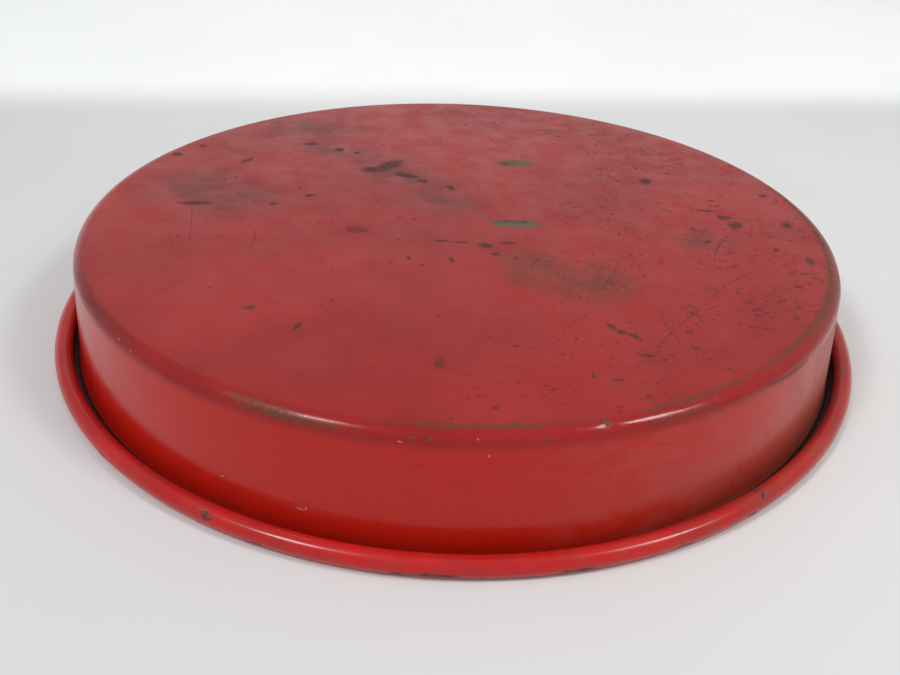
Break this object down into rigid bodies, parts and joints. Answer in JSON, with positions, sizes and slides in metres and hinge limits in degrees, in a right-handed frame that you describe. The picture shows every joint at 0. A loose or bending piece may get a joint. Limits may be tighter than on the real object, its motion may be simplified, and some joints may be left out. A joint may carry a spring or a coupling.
{
  "type": "serving tray",
  "caption": "Round pressed-steel advertising tray with a slightly flared wall and a hollow rolled rim, red enamel outside, shown face down with its base on top.",
  "frame": {"origin": "middle of the circle that the rim stands on, at the rim's crown", "axes": "+Z along the tray's axis, from the crown of the rim to the outside of the base, so the tray lies face down; X and Y are level and any pair will do on a round tray"},
  "size_m": [0.3364, 0.3364, 0.0435],
  "materials": {
    "tray_steel": "bare sheet steel, dull and lightly rusted where coats are worn off",
    "back_red": "thin glossy red enamel, scratched, scuffed and specked with rust",
    "rim_red": "thin glossy red enamel, brighter than the back, chipped at the outer edge",
    "border_print": "varnished cream border print with plain lines",
    "face_print": "varnished green print with plain rings and a ring of rays, no picture and no lettering"
  },
  "bodies": {
    "root": {"pan": "tray_steel", "back_enamel": "back_red", "rim_enamel": "rim_red", "wall_print": "border_print", "face_print": "face_print"}
  },
  "joints": []
}
